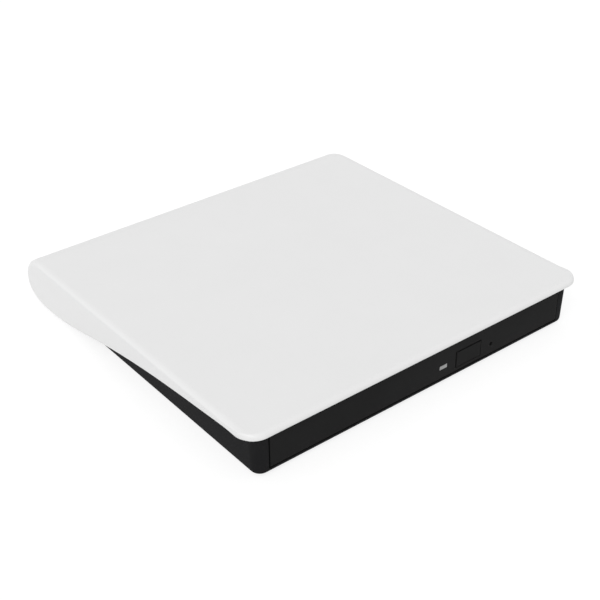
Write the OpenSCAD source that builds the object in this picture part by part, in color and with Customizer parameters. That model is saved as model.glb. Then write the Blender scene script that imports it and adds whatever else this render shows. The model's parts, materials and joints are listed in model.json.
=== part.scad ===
// External DVD drive: a white wing-shaped cover over a black base, with a slim tray drive inside.
// Millimetres. The origin is at the bottom centre. X runs to the right, Y to the rear and Z up.
// The tray opens toward -Y. Every sub-part is one module, drawn in its place with the tray closed.

/* [Disc] */
// Diameter of the discs that the tray takes
disc_d = 120; // [118:0.5:122]
// Thickness of a disc
disc_t = 1.2; // [1.1:0.1:1.3]
// Bore of a disc
disc_bore = 15; // [14.8:0.1:15.2]
// Gap round the disc in the tray's well
disc_clear = 0.6; // [0.4:0.1:0.8]
// Diameter of the small discs that fit the inner well
small_disc_d = 80; // [78:0.5:82]

/* [Drive shell] */
// From the disc's edge to the outside of the chassis, at each side
disc_side_room = 3.5; // [3.3:0.1:5]
// From the disc's edge to the chassis front
disc_front_room = 1.6; // [1.4:0.1:3]
// From the disc's edge to the chassis rear
disc_rear_room = 3; // [2.8:0.1:5]
// Height of the drive, the slim standard
drive_h = 12.7; // [12.5:0.1:14]
// Sheet of the chassis
pan_t = 0.6; // [0.5:0.1:0.8]
// Sheet of the lid
lid_t = 0.5; // [0.4:0.1:0.7]
// How far the lid's pressed disc stands up
lid_emboss = 0.35; // [0.2:0.05:0.6]
// Depth of the lid's side flanges
flange_h = 4.6; // [4:0.2:6]
// Diameter of the lid screws' heads
lid_screw_head_d = 3.2; // [2.8:0.1:3.6]

/* [Case] */
// Room between the chassis and the base walls
side_room = 3.8; // [3.2:0.1:6]
// Side walls of the base
base_wall = 1.8; // [1.4:0.1:2.4]
// Floor of the base
base_floor = 1.4; // [1.2:0.1:2]
// How much narrower the base is at the bottom, at each side
base_draft = 0.8; // [0.2:0.1:1.2]
// Corner radius of the base
base_corner_r = 3.5; // [2.5:0.5:6]
// Rounding of the base's bottom edge
base_edge_r = 1.3; // [0.8:0.1:1.8]
// How far the cover stands out past the base at the sides
side_overhang = 3.4; // [3:0.1:4.5]
// How far the front lip stands out past the bezel
lip_overhang = 2.5; // [2:0.1:3.5]
// Thickness of the front lip
lip_h = 3; // [2.8:0.1:3.6]
// Top wall of the cover
cover_wall = 2; // [1.6:0.1:2.4]
// Side skirts of the cover
skirt_t = 3; // [2.6:0.1:3.2]
// Room between the lid and the cover
head_room = 1.7; // [1.4:0.1:2.5]
// Radius of the cover's front corners seen from above
cover_corner_r = 6.5; // [4:0.5:8]
// Radius of the nose's corners seen from above
nose_corner_r = 3.5; // [2.5:0.5:6]
// Width of the rounding along the cover's side edges
cover_edge_w = 2.2; // [1.5:0.1:2.6]
// Depth of that rounding
cover_edge_h = 1.2; // [0.8:0.1:1.3]
// Room for the connectors behind the chassis
nose_room = 11; // [10.8:0.1:14]
// Wall of the rear nose
nose_wall = 2.5; // [2:0.1:2.8]
// Height of the feet below the base
foot_h = 1; // [0.6:0.1:2]
// Diameter of the feet
foot_d = 9; // [7:0.5:12]
// Depth of the feet's seats in the base
foot_seat = 0.6; // [0.4:0.1:0.8]

/* [Front] */
// Thickness of the tray bezel
bezel_t = 3.5; // [3.2:0.1:4.5]
// Face wall of the bezel
bezel_wall = 2; // [1.6:0.1:2.2]
// Seam between the bezel's left end and the base
bezel_gap = 0.5; // [0.3:0.1:0.7]
// Seam between the bezel's right end and the base
bezel_gap_right = 0.2; // [0.2:0.1:0.7]
// Width of the eject button
button_w = 11.2; // [10:0.2:12.4]
// Height of the eject button
button_h = 5.8; // [5.4:0.1:6.4]
// Left edge of the eject button from the middle of the bezel
button_x = 14.3; // [13.7:0.1:15]
// Bottom edge of the eject button above the bezel's bottom edge
button_rise = 1.7; // [1.4:0.1:2]
// Seam below the eject button and at its right
button_gap = 0.2; // [0.2:0.05:0.4]
// Wider seam above the eject button and at its left
button_seam = 0.5; // [0.3:0.05:0.6]
// Travel of the eject button
button_travel = 0.5; // [0.4:0.1:0.6]
// Width of the indicator window
window_w = 3.4; // [3:0.1:4]
// Height of the indicator window
window_h = 1.5; // [1.2:0.1:1.8]
// Middle of the indicator window from the middle of the bezel
window_x = 8.2; // [7.6:0.2:9]
// Middle of the indicator window above the bezel's bottom edge
window_rise = 4.5; // [4.2:0.1:4.8]
// Diameter of the emergency pin hole
pin_hole_d = 1.4; // [1.2:0.1:1.6]
// Pin hole from the middle of the bezel
pin_hole_x = 30.6; // [30:0.2:32]

/* [Slides] */
// Sheet of the fixed guides
guide_t = 0.6; // [0.5:0.1:0.7]
// How far the guides stand in from the chassis walls
guide_w = 2.3; // [2:0.1:2.5]
// Sheet of the sliding rails
rail_t = 0.6; // [0.5:0.1:0.7]
// Width of the sliding rails
rail_w = 2.8; // [2.5:0.1:3]
// Running gap between guide, rail and tray
slide_gap = 0.2; // [0.15:0.05:0.3]
// From the sliding rails' rear ends to the chassis rear
rail_rear_room = 9.6; // [7.6:0.2:20]

/* [Tray] */
// Room under the tray for the flat cable
under_gap = 1; // [0.9:0.05:1.2]
// Sheet of the tray's shield
shield_t = 0.3; // [0.2:0.05:0.4]
// Deck of the tray
deck_t = 1.2; // [1:0.1:1.3]
// Side beams of the tray
beam_t = 1.6; // [1.2:0.1:2]
// Step between the large and the small well
well_step = 0.5; // [0.3:0.05:0.6]
// How far a clamped disc stands above the small well's floor
disc_lift = 0.9; // [0.8:0.05:1]
// How far the tray's rim stands above a clamped disc
rim_rise = 0.5; // [0.3:0.1:0.6]
// Gap between the tray and the chassis walls
tray_side_gap = 0.6; // [0.4:0.1:0.8]
// Sheet that covers the mechanism
sheet_t = 0.4; // [0.3:0.05:0.5]

/* [Mechanism] */
// Plate of the traverse frame
frame_t = 1; // [0.8:0.1:1.1]
// Height of the pickup sled
sled_h = 2.8; // [2.7:0.05:3]
// Diameter of the guide rods
rod_d = 2; // [1.8:0.1:2.1]
// Guide rods from the lens track, at each side
rod_v = 12; // [11.8:0.1:12.4]
// Running fit of rods, shafts and pivots, on the radius
run_fit = 0.05; // [0.03:0.01:0.08]
// Lens radius at the inside of the disc
lens_in_r = 23.5; // [23:0.1:24]
// From the disc's edge to the lens at the outer end of its travel
track_edge = 3; // [3:0.5:6]
// Diameter of the objective lens
lens_d = 4.4; // [4:0.1:5]
// Diameter of the lead screw
screw_d = 2.2; // [2:0.1:2.4]
// Diameter of the sled motor
motor_d = 4.8; // [4.4:0.1:4.9]
// Diameter of the spindle shaft
shaft_d = 3; // [2.6:0.1:3.4]
// Diameter of the rotor
rotor_d = 22; // [20:0.5:23]
// Diameter of the turntable
table_d = 27; // [25:0.5:28]
// Gap between the hub and a disc's bore, on the radius
hub_clear = 0.15; // [0.1:0.05:0.2]
// How far the hub stands above the bottom of a disc
hub_rise = 2.5; // [2.2:0.1:2.8]
// Swing of the latch lever, in degrees
latch_swing = 14; // [13:0.5:15]

/* [Connectors] */
// Width of the USB socket
usb_w = 9; // [8.8:0.1:9.2]
// Height of the USB socket
usb_h = 3.2; // [3:0.1:3.3]
// Width of the plug recess in the nose
plug_w = 13.2; // [12.6:0.1:14]
// Height of the plug recess in the nose
plug_h = 7.2; // [6.8:0.1:7.6]
// Width of the drive connector
sata_w = 32; // [30:0.5:33]

/* [Hidden] */
$fn = 48;
cut = 1;

// Overall sizes, worked out from the disc and what stands round it
drive_w = disc_d + 2 * disc_side_room;
drive_d = disc_d + disc_front_room + disc_rear_room;
case_w = drive_w + 2 * (side_room + base_wall + side_overhang);
bezel_back_gap = 0.4;
case_d = lip_overhang + bezel_t + bezel_back_gap + drive_d + nose_room;

// Heights of the shell
base_z = foot_h;
floor_z = base_z + base_floor;
pan_z = floor_z + pan_t;
lid_z = floor_z + drive_h - lid_t;
lid_top = floor_z + drive_h;
cover_z = lid_top + head_room;
top_z = cover_z + cover_wall;
lip_z = top_z - lip_h;
base_top = lip_z - 0.3;

// Places from front to rear
front_y = -case_d / 2 + lip_overhang;
bezel_back = front_y + bezel_t;
pan_y0 = bezel_back + bezel_back_gap;
pan_y1 = pan_y0 + drive_d;
rear_y = case_d / 2;
spin_y = pan_y0 + disc_front_room + disc_d / 2;

// Places from the middle outward
pan_x = drive_w / 2;
pan_in = pan_x - pan_t;
base_in = pan_x + side_room;
base_x = base_in + base_wall;
skirt_in = case_w / 2 - skirt_t;
pillar_x = pan_x + 0.4;
pillar_y = bezel_back + bezel_back_gap / 2;
bezel_x0 = -pillar_x + bezel_gap;
bezel_x1 = pillar_x - bezel_gap_right;
tray_x = pan_in - tray_side_gap;

// Heights of the tray and its mechanism
shield_z = pan_z + under_gap;
shield_top = shield_z + shield_t;
frame_z = shield_top + 0.4;
frame_top = frame_z + frame_t;
sled_z = frame_top + 0.2;
sled_top = sled_z + sled_h;
deck_z = sled_top + 0.3;
deck_top = deck_z + deck_t;
well_z = deck_top + well_step;
disc_z = deck_top + disc_lift;
rim_z = disc_z + disc_t + rim_rise;
rod_z = sled_z + sled_h / 2;
well_r = disc_d / 2 + disc_clear;
small_r = small_disc_d / 2 + disc_clear;
tray_y0 = bezel_back;
tray_y1 = pan_y1 - pan_t - 1;

// Slides, one inside the other
guide_top = deck_z - 0.4;
rail_x1 = pan_in - guide_t - slide_gap;
rail_x0 = rail_x1 - rail_w;
rail_z = pan_z + guide_t + slide_gap;
rail_top = guide_top - guide_t - slide_gap;
tongue_x = rail_x1 - rail_t - slide_gap;
tongue_z = rail_z + rail_t + slide_gap;
tongue_top = rail_top - rail_t - slide_gap;
beam_x1 = rail_x0 - 0.6;
beam_x0 = beam_x1 - beam_t;
front_wall = beam_t;
rail_y0 = pan_y0 + 3;
rail_y1 = pan_y1 - rail_rear_room;

// Bezel
bezel_z = floor_z + 0.3;
bezel_top = lip_z - 0.5;
button_z = bezel_z + button_rise;
window_z = bezel_z + window_rise;
pin_z = window_z - 0.4;
stem_d = 2;
stem_x = button_x + button_w / 2;

// Boards inside the tray, beside the dampers of the traverse
damper_r = 3;
button_board_z = bezel_z + 1.75;
button_board_t = 0.8;
stem_z = button_board_z + button_board_t + 1.45;
board_t = 0.8;
tray_board_z = shield_top + 0.7;
tray_board_x0 = (2 * rod_v + 2) / sqrt(2) + damper_r + 4.6;
channel_x = beam_x0 - 6.6;
tray_board_x1 = channel_x - 1.5;
tray_board_y1 = pan_y1 - 16;
shield_y1 = pan_y1 - 14;

// Latch, with its solenoid between the lever and the tray board
post_x = channel_x + 3;
post_y = pan_y0 + 4.6;
post_d = 2.4;
latch_x = post_x - 4;
latch_y = post_y + 15;
lever_t = 1.4;
lever_z = pin_z - lever_t / 2;
pivot_d = 3;
coil_w = 10.5;
coil_h = 3.6;
coil_wall = 1.2;
coil_x = latch_x - coil_w - 3.5;
coil_y = latch_y + 4.5;
plunger_d = 1.6;
tray_board_y0 = coil_y + coil_w + 4;

// Drive connector and bridge board
con_board_z = pan_z + 0.9;
con_board_y0 = pan_y1 - 12.5;
con_x = pan_x - 27;
sata_z = con_board_z + board_t;
sata_h = 3.8;
sata_mid = sata_z + sata_h / 2;
bridge_z = sata_mid - 0.5;
bridge_t = 1;
bridge_y0 = pan_y1 + 2.2;
bridge_y1 = rear_y - 5;
bridge_x0 = -14;
bridge_x1 = con_x + sata_w / 2 + 4;
shelf_z = base_z + 2.8;
shelf_t = 1;
web_gap = 0.6;
shelf_top = shelf_z + shelf_t;
usb_z = bridge_z + bridge_t + usb_h / 2;
usb_mouth = rear_y - 3.3;
boss_y0 = bridge_y1 + 0.3;
boss_x = case_w / 2 - 10.5;
boss_y = rear_y - 7;
boss_d = 5;
screw_shaft_d = 1.9;
screw_head_d = 3.8;
screw_head_t = 1.2;
screw_l = 7;

// Spindle
rotor_z = frame_top + 0.65;
table_z = rotor_z + 2.5;
pad_t = 0.3;
table_top = disc_z - pad_t;
hub_r = disc_bore / 2 - hub_clear;
hub_top = disc_z + hub_rise;
pawl_w = 3;
pawl_h = 1;
pawl_out = 0.2;
ring_top = disc_z + 0.6;
head_r = hub_r - 0.3;
pawl_z = disc_z + 1;
pawl_gap = 0.3;

// Pickup
sled_travel = disc_d / 2 - track_edge - lens_in_r;
screw_v = rod_v + 5;
sled_back = 7.8;
sled_front = 6;
sled_half = rod_v + 2;
rod_u0 = lens_in_r - sled_back - 3;
rod_u1 = lens_in_r + sled_travel + sled_front + 2.8;
screw_u0 = 9;
screw_u1 = rod_u1 - 7;
holder_l = 9.2;
holder_w = 10.4;
holder_gap = 0.6;
clamp_half = 1.7;
clamp_t = 2.4;
traverse_room = 0.4;

// Outline helpers
function arc(c, r, a0, a1, n) =
    [for (i = [0 : n]) let (a = a0 + (a1 - a0) * i / n) [c[0] + r * cos(a), c[1] + r * sin(a)]];
function tail(p) = [for (i = [1 : len(p) - 1]) p[i]];
function bezier(a, b, c, d, n) = [for (i = [0 : n]) let (t = i / n, s = 1 - t)
    s * s * s * a + 3 * s * s * t * b + 3 * s * t * t * c + t * t * t * d];
function round_box(x0, x1, y0, y1, r, n = 8) = concat(
    arc([x1 - r, y1 - r], r, 0, 90, n),
    arc([x0 + r, y1 - r], r, 90, 180, n),
    arc([x0 + r, y0 + r], r, 180, 270, n),
    arc([x1 - r, y0 + r], r, 270, 360, n));
function inset(p, e) = [for (i = [0 : len(p) - 1])
    let (a = p[(i + len(p) - 1) % len(p)], b = p[(i + 1) % len(p)], t = (b - a) / norm(b - a))
    p[i] + e * [-t[1], t[0]]];
function clamp01(t) = min(1, max(0, t));

// Faces of a solid that runs through rings of n points each
function ring_faces(rings, n) = concat(
    [[for (i = [0 : n - 1]) i]],
    [[for (i = [0 : n - 1]) (rings - 1) * n + n - 1 - i]],
    [for (k = [0 : rings - 2]) for (i = [0 : n - 1]) [k * n + i, (k + 1) * n + i, (k + 1) * n + (i + 1) % n]],
    [for (k = [0 : rings - 2]) for (i = [0 : n - 1]) [k * n + i, (k + 1) * n + (i + 1) % n, k * n + (i + 1) % n]]);

module slab(x0, x1, y0, y1, z0, z1) {
    translate([x0, y0, z0])
        cube([x1 - x0, y1 - y0, z1 - z0]);
}

module plate(points, z0, z1) {
    translate([0, 0, z0])
        linear_extrude(z1 - z0)
            polygon(points);
}

// A side outline in Y and Z, run along X
module run_x(points, x0, x1) {
    translate([x0, 0, 0])
        rotate([90, 0, 90])
            linear_extrude(x1 - x0)
                polygon(points);
}

// A round bar along Y
module bar_y(x, z, d, y0, y1) {
    translate([x, y0, z])
        rotate([-90, 0, 0])
            cylinder(d = d, h = y1 - y0);
}

// The mechanism's own frame: the origin on the spindle, X out along the lens track to the front left
module on_track() {
    translate([0, spin_y, 0])
        rotate([0, 0, 225])
            children();
}

module bar_u(u0, u1, v, d) {
    translate([u0, v, rod_z])
        rotate([0, 90, 0])
            cylinder(d = d, h = u1 - u0);
}

// Cover. Its side outline is a bullnose lip, a wing curve, and a rounded nose.
nose_z = base_z + 0.432 * (top_z - base_z);
nose_run = 13;
low_y = rear_y - 16.8;
lip_r = lip_h / 2;
cover_y0 = -case_d / 2;
wing = bezier([cover_y0 + lip_r, lip_z], [20, lip_z - 4.4], [25.4, base_z], [low_y, base_z], 22);
nose_low = bezier([low_y, base_z], [rear_y - 3.5, base_z], [rear_y, nose_z - 4.1], [rear_y, nose_z], 8);
nose_up = [for (i = [0 : 9]) [rear_y - nose_run + nose_run * cos(10 * i), nose_z + (top_z - nose_z) * sin(10 * i)]];
cover_side = concat(
    arc([cover_y0 + lip_r, top_z - lip_r], lip_r, 90, 270, 8),
    tail(wing),
    tail(nose_low),
    tail(nose_up));
edge_steps = concat(
    [for (i = [0 : 4]) cover_edge_w * (1 - cos(22.5 * i))],
    [for (i = [1 : 3]) cover_edge_w + (max(cover_corner_r, nose_corner_r) + 0.5 - cover_edge_w) * i / 3]);
function edge_in(d) = d < cover_edge_w ? cover_edge_h * (1 - sqrt(1 - pow(1 - d / cover_edge_w, 2))) : 0;
function corner_in(d, r) = d < r ? r - sqrt(r * r - (r - d) * (r - d)) : 0;
function end_in(d, y) = y < 0 ? corner_in(d, cover_corner_r) : -corner_in(d, nose_corner_r);
function cover_ring(x, d) = [for (q = inset(cover_side, edge_in(d)))
    [x, q[0] + end_in(d, q[0]) * clamp01((abs(q[0]) - case_d / 2 + 26) / 26), q[1]]];
cover_rings = concat(
    [for (d = edge_steps) cover_ring(-case_w / 2 + d, d)],
    [for (i = [len(edge_steps) - 1 : -1 : 0]) cover_ring(case_w / 2 - edge_steps[i], edge_steps[i])]);
cavity_front = front_y + 3.5;
cavity_rear = pan_y1 + 1.8;
cavity_side = concat(
    [[cavity_front, base_z - 2], [cavity_rear, base_z - 2], [cavity_rear, shelf_z], [rear_y - 5, shelf_z]],
    [[rear_y - nose_wall, nose_z - 3.2]],
    [for (i = [0 : 9]) [rear_y - nose_run + (nose_run - nose_wall) * cos(10 * i),
        nose_z + (cover_z - nose_z) * sin(10 * i)]],
    [[cavity_front, cover_z]]);
hook_x = (pillar_x + base_x) / 2;

module stadium_y(w, h, z, y0, y1) {
    slab(-w / 2 + h / 2, w / 2 - h / 2, y0, y1, z - h / 2, z + h / 2);
    for (s = [-1, 1])
        bar_y(s * (w - h) / 2, z, h, y0, y1);
}

module top_cover() {
    color("#e8e8e8")
    difference() {
        union() {
            difference() {
                polyhedron([for (r = cover_rings) each r], ring_faces(len(cover_rings), len(cover_side)));
                run_x(cavity_side, -skirt_in, skirt_in);
            }
            // Screw bosses at the rear and hooks at the front
            for (s = [-1, 1])
                translate([s * boss_x, boss_y, shelf_top])
                    cylinder(d = boss_d, h = cover_z - 1.6 - shelf_top);
            for (s = [-1, 1])
                slab(s * hook_x - 1.2, s * hook_x + 1.2, front_y + 1.6, front_y + 3, base_top - 2.5, lip_z + 0.5);
            // Block that holds the plug recess
            slab(-plug_w / 2 - 1.9, plug_w / 2 + 1.9, boss_y0, rear_y - 2, usb_z - 3.6, usb_z + 3.6);
        }
        for (s = [-1, 1])
            translate([s * boss_x, boss_y, shelf_top - cut])
                cylinder(d = screw_shaft_d + 0.1, h = screw_l + cut);
        for (s = [-1, 1])
            translate([s * boss_x, boss_y, base_z - cut])
                cylinder(d = screw_head_d + 1.4, h = shelf_z - base_z + cut);
        stadium_y(plug_w, plug_h, usb_z, usb_mouth + 0.1, rear_y + cut);
        stadium_y(usb_w + 0.3, usb_h + 0.3, usb_z, boss_y0 - cut, usb_mouth + cut);
    }
}

// Base: a drafted tub, open toward the rear
function base_in_at(z) = base_draft * (base_top - z) / (base_top - base_z);
function base_ring(z, e) = [for (q = round_box(-base_x + base_in_at(z) + e, base_x - base_in_at(z) - e,
    front_y + e, cavity_rear - 0.3, base_corner_r - e, 8)) [q[0], q[1], z]];
base_bottom_rings = [for (i = [0 : 4]) base_ring(base_z + base_edge_r * (1 - cos(22.5 * i)),
    base_edge_r * (1 - sin(22.5 * i)))];
base_rings = concat(base_bottom_rings, [base_ring(base_top, 0)]);
base_ring_n = len(base_rings[0]);
foot_x = base_x - 11.1;
foot_places = [[-foot_x, front_y + 12.5], [foot_x, front_y + 12.5], [-foot_x, pan_y1 - 10], [foot_x, pan_y1 - 10]];

module base_case() {
    color("#262626")
    difference() {
        union() {
            difference() {
                polyhedron([for (r = base_rings) each r], ring_faces(len(base_rings), base_ring_n));
                slab(-base_in, base_in, pillar_y, cavity_rear + cut, floor_z, base_top + cut);
                slab(-pillar_x, pillar_x, front_y - cut, pillar_y + cut, floor_z, base_top + cut);
            }
            // Ribs that hold the drive, and the shelf that reaches into the nose
            for (s = [-1, 1])
                for (y = [spin_y - 22, spin_y + 8, spin_y + 38])
                    mirror([s < 0 ? 1 : 0, 0, 0])
                        slab(pan_x + lid_t, base_in + 0.4, y, y + 1.6, floor_z - 0.4, lid_z - 2.4);
            slab(-boss_x - 3, boss_x + 3, pan_y1 + web_gap, pan_y1 + 1.5, base_z + 0.4, shelf_top);
            slab(-boss_x - 3, boss_x + 3, pan_y1 + web_gap, rear_y - 5.2, shelf_z, shelf_top);
            for (x = [bridge_x0 + 3, bridge_x1 - 1.8])
                translate([x, bridge_y1 - 2, shelf_top - 0.2])
                    cylinder(d = 3, h = bridge_z - shelf_top + 0.2);
        }
        for (q = foot_places)
            translate([q[0], q[1], base_z - cut])
                cylinder(d = foot_d + 0.1, h = foot_seat + cut);
        for (s = [-1, 1])
            slab(s * hook_x - 1.5, s * hook_x + 1.5, front_y + 1.3, front_y + 3.3, base_top - 2.8, base_top + cut);
        for (s = [-1, 1])
            translate([s * boss_x, boss_y, shelf_z - cut])
                cylinder(d = screw_shaft_d + 0.4, h = shelf_t + 2 * cut);
    }
}

module rubber_feet() {
    color("#3a3a3a")
    for (q = foot_places)
        translate([q[0], q[1], 0])
            rotate_extrude()
                polygon([[0, 0], [foot_d / 2 - 0.4, 0], [foot_d / 2, 0.4], [foot_d / 2, foot_h + foot_seat],
                    [0, foot_h + foot_seat]]);
}

module pan_screw(head_d, head_t, shaft_d, shaft_l) {
    difference() {
        union() {
            translate([0, 0, -head_t])
                cylinder(d = head_d, h = head_t);
            cylinder(d = shaft_d, h = shaft_l);
        }
        // Cross slot
        for (a = [0, 90])
            rotate([0, 0, a])
                slab(-head_d * 0.32, head_d * 0.32, -head_d * 0.07, head_d * 0.07, -head_t - cut, -head_t * 0.5);
    }
}

module case_screws() {
    color("#50545a")
    for (s = [-1, 1])
        translate([s * boss_x, boss_y, shelf_z])
            pan_screw(screw_head_d, screw_head_t, screw_shaft_d, screw_l);
}

// Bridge board with the USB socket and the drive plug
module bridge_board() {
    color("#1f5a33")
    difference() {
        slab(bridge_x0, bridge_x1, bridge_y0, bridge_y1, bridge_z, bridge_z + bridge_t);
        slab(-usb_w / 2 + 1, usb_w / 2 - 1, bridge_y1 - 0.4, bridge_y1 + cut, bridge_z - cut, bridge_z + 2);
    }
}

plug_x0 = con_x - sata_w / 2 - 0.5;
bridge_chip_w = 5;
bridge_chip_t = 1;

module bridge_chips() {
    color("#222226")
    for (x = [-usb_w / 2 - 1.2 - bridge_chip_w, plug_x0 - bridge_chip_w - 0.5])
        slab(x, x + bridge_chip_w, bridge_y0 + 0.4, bridge_y1 - 0.4, bridge_z + bridge_t, bridge_z + bridge_t + bridge_chip_t);
}

module sata_plug() {
    color("#1c1c1e")
    difference() {
        union() {
            slab(plug_x0, con_x + sata_w / 2 + 0.5, pan_y1 + 0.7, bridge_y0 + 1.2,
                sata_z + 0.2, sata_z + sata_h - 0.3);
            slab(con_x - sata_w / 2 + 1.2, con_x + sata_w / 2 - 1.2, pan_y1 - 2.6, pan_y1 + 0.8,
                sata_mid - 1, sata_mid + 1);
        }
        // Slots for the board's edge and for the receptacle's blade
        slab(con_x - sata_w / 2 - cut, con_x + sata_w / 2 + cut, bridge_y0, bridge_y0 + 3, bridge_z, bridge_z + bridge_t);
        slab(con_x - sata_w / 2 + 2, con_x + sata_w / 2 - 2, pan_y1 - 3, pan_y1 + 0.2, sata_mid - 0.5, sata_mid + 0.5);
    }
}

module usb_socket_shell() {
    color("#c8c8cc")
    difference() {
        stadium_y(usb_w, usb_h, usb_z, bridge_y0 + 0.2, usb_mouth);
        stadium_y(usb_w - 0.6, usb_h - 0.6, usb_z, bridge_y0 + 0.8, usb_mouth + cut);
    }
}

module usb_socket_tongue() {
    color("#18181a")
    union() {
        slab(-3.35, 3.35, bridge_y0 + 1, usb_mouth - 0.9, usb_z - 0.35, usb_z + 0.35);
        slab(-2.8, 2.8, bridge_y0 + 0.8, bridge_y0 + 2, usb_z - usb_h / 2 + 0.4, usb_z + usb_h / 2 - 0.4);
    }
}

// Drive shell
pan_ribs = [for (i = [0 : 2]) -pan_x + 19.5 + 28 * i];

module drive_chassis() {
    color("#b9bcc0")
    difference() {
        union() {
            difference() {
                slab(-pan_x, pan_x, pan_y0, pan_y1, floor_z, lid_z);
                slab(-pan_in, pan_in, pan_y0 - cut, pan_y1 - pan_t, pan_z, lid_z + cut);
            }
            // Standoffs of the connector board, and pressed ribs in the floor
            for (x = [con_x - sata_w / 2 - 1, con_x + sata_w / 2])
                translate([x, con_board_y0 + 3, pan_z - 0.2])
                    cylinder(d = 3, h = con_board_z - pan_z + 0.2);
            for (x = pan_ribs)
                translate([x, 0, 0])
                    plate(round_box(-2, 2, pan_y0 + 14, pan_y1 - 22, 1.9), pan_z - 0.2, pan_z + 0.25);
        }
        slab(con_x - sata_w / 2 - 1, con_x + sata_w / 2 + 1, pan_y1 - pan_t - cut, pan_y1 + cut,
            sata_z - 0.4, sata_z + sata_h + 0.4);
        for (x = pan_ribs)
            translate([x, 0, 0])
                plate(round_box(-1.4, 1.4, pan_y0 + 14.6, pan_y1 - 22.6, 1.3), floor_z - cut, floor_z + 0.25);
        for (s = [-1, 1])
            for (y = [pan_y0 + 20, pan_y1 - 15])
                translate([s * (pan_x - pan_t - cut), y, lid_z - flange_h / 2])
                    rotate([0, s * 90, 0])
                        cylinder(d = 1.7, h = pan_t + 2 * cut);
    }
}

module drive_lid() {
    color("#c3c6ca")
    difference() {
        union() {
            slab(-pan_x - lid_t, pan_x + lid_t, pan_y0, pan_y1, lid_z, lid_top);
            for (s = [0, 1])
                mirror([s, 0, 0])
                    slab(pan_x, pan_x + lid_t, pan_y0 + 3, pan_y1, lid_z - flange_h, lid_top);
            translate([0, spin_y, lid_z])
                cylinder(r = disc_d / 2 - 3, h = lid_t + lid_emboss, $fn = 96);
        }
        translate([0, spin_y, lid_z - cut])
            cylinder(r = disc_d / 2 - 3.6, h = lid_emboss + cut, $fn = 96);
        for (s = [-1, 1])
            for (y = [pan_y0 + 20, pan_y1 - 15])
                translate([s * (pan_x - cut), y, lid_z - flange_h / 2])
                    rotate([0, s * 90, 0])
                        cylinder(d = 1.7, h = lid_t + 2 * cut);
    }
}

module drive_screws() {
    color("#8a8d92")
    for (s = [-1, 1])
        for (y = [pan_y0 + 20, pan_y1 - 15])
            translate([s * (pan_x + lid_t), y, lid_z - flange_h / 2])
                rotate([0, -s * 90, 0])
                    pan_screw(lid_screw_head_d, 0.5, 1.6, lid_t + pan_t - 0.1);
}

// A channel in X and Z, open toward the middle
module channel(x0, x1, t, z0, z1, y0, y1) {
    difference() {
        slab(x0, x1, y0, y1, z0, z1);
        slab(x0 - cut, x1 - t, y0 - cut, y1 + cut, z0 + t, z1 - t);
    }
}

module rail_guide_right() {
    color("#dcdcda")
    channel(pan_in - guide_w, pan_in, guide_t, pan_z, guide_top, pan_y0 + 2, pan_y1 - 6);
}

module rail_guide_left() {
    color("#dcdcda")
    mirror([1, 0, 0])
        channel(pan_in - guide_w, pan_in, guide_t, pan_z, guide_top, pan_y0 + 2, pan_y1 - 6);
}

module slide_rail_right() {
    color("#a9adb2")
    channel(rail_x0, rail_x1, rail_t, rail_z, rail_top, rail_y0, rail_y1);
}

module slide_rail_left() {
    color("#a9adb2")
    mirror([1, 0, 0])
        channel(rail_x0, rail_x1, rail_t, rail_z, rail_top, rail_y0, rail_y1);
}

module latch_post() {
    color("#9a9da2")
    translate([post_x, post_y, pan_z])
        rotate_extrude()
            polygon([[0, 0], [post_d / 2 + 0.6, 0], [post_d / 2 + 0.6, 0.4], [post_d / 2, 0.8],
                [post_d / 2, lever_z + lever_t + 0.8 - pan_z], [post_d / 2 - 0.3, lever_z + lever_t + 1.1 - pan_z],
                [0, lever_z + lever_t + 1.1 - pan_z]]);
}

con_board_left = 4.5;
con_board_right = 2.5;

module connector_board() {
    color("#1f5a33")
    slab(con_x - sata_w / 2 - con_board_left, con_x + sata_w / 2 + con_board_right, con_board_y0, pan_y1 - pan_t - 2, con_board_z, con_board_z + board_t);
}

module sata_receptacle() {
    color("#1c1c1e")
    union() {
        difference() {
            slab(con_x - sata_w / 2, con_x + sata_w / 2, pan_y1 - 6, pan_y1 + 0.4, sata_z, sata_z + sata_h);
            slab(con_x - sata_w / 2 + 0.8, con_x + sata_w / 2 - 0.8, pan_y1 - 3, pan_y1 + 0.4 + cut,
                sata_mid - 1.4, sata_mid + 1.4);
        }
        slab(con_x - sata_w / 2 + 2.3, con_x + sata_w / 2 - 2.3, pan_y1 - 3.5, pan_y1 - 0.1,
            sata_mid - 0.3, sata_mid + 0.3);
    }
}

// Flat cable: it lies on the chassis floor, folds back under the tray and rises to the tray board
cable_x0 = tray_board_x0 + 1.5;
cable_w = 14;
cable_t = 0.15;
cable_z = pan_z + 0.05;
cable_fold = pan_y0 + 20;
cable_end = spin_y + 23;
cable_top = shield_z - 0.1;
fold_r = (cable_top - cable_z) / 2;

module flex_cable() {
    color("#d8d4c4")
    run_x(concat(
        [[con_board_y0 + 1, con_board_z], [con_board_y0 + 1 - cable_t, con_board_z],
            [con_board_y0 + 1 - cable_t, cable_z + cable_t]],
        arc([cable_fold, cable_z + fold_r], fold_r - cable_t, 270, 90, 8),
        [[cable_end + cable_t, cable_top - cable_t], [cable_end + cable_t, tray_board_z],
            [cable_end, tray_board_z], [cable_end, cable_top]],
        arc([cable_fold, cable_z + fold_r], fold_r, 90, 270, 8),
        [[con_board_y0 + 1, cable_z]]), cable_x0, cable_x0 + cable_w);
}

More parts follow.
